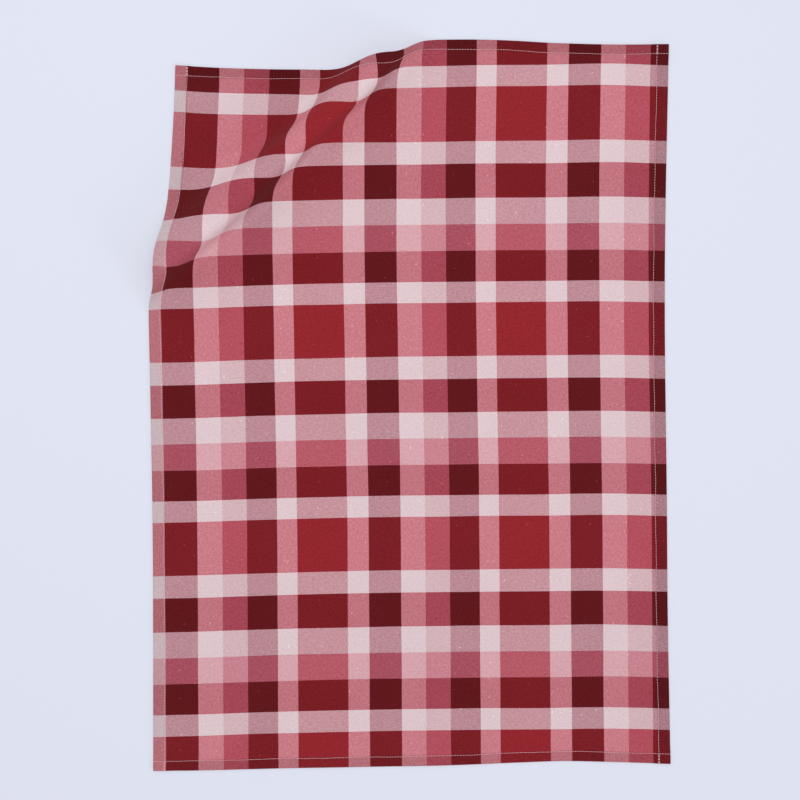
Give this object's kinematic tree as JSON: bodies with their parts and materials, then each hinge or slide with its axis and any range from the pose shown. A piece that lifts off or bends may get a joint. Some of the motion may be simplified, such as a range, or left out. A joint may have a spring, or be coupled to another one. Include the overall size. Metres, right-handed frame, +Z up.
{
  "type": "tea towel",
  "caption": "Checked cotton tea towel with turned hems, lying flat with one corner pushed in so that a soft ridge crosses it slantwise.",
  "frame": {"origin": "the middle of the towel, on its underside, where it rests on a table or floor", "axes": "+Z up from the surface it lies on, +Y along the towel's length, +X to the right across its width"},
  "size_m": [0.5067, 0.7099, 0.0331],
  "materials": {
    "checked_cotton": "plain-woven yarn-dyed cotton, matt, with a check of dark red, red, pink and off-white",
    "seam_thread": "pale sewing thread, matt"
  },
  "bodies": {
    "root": {"towel": "checked_cotton"}
  },
  "joints": []
}
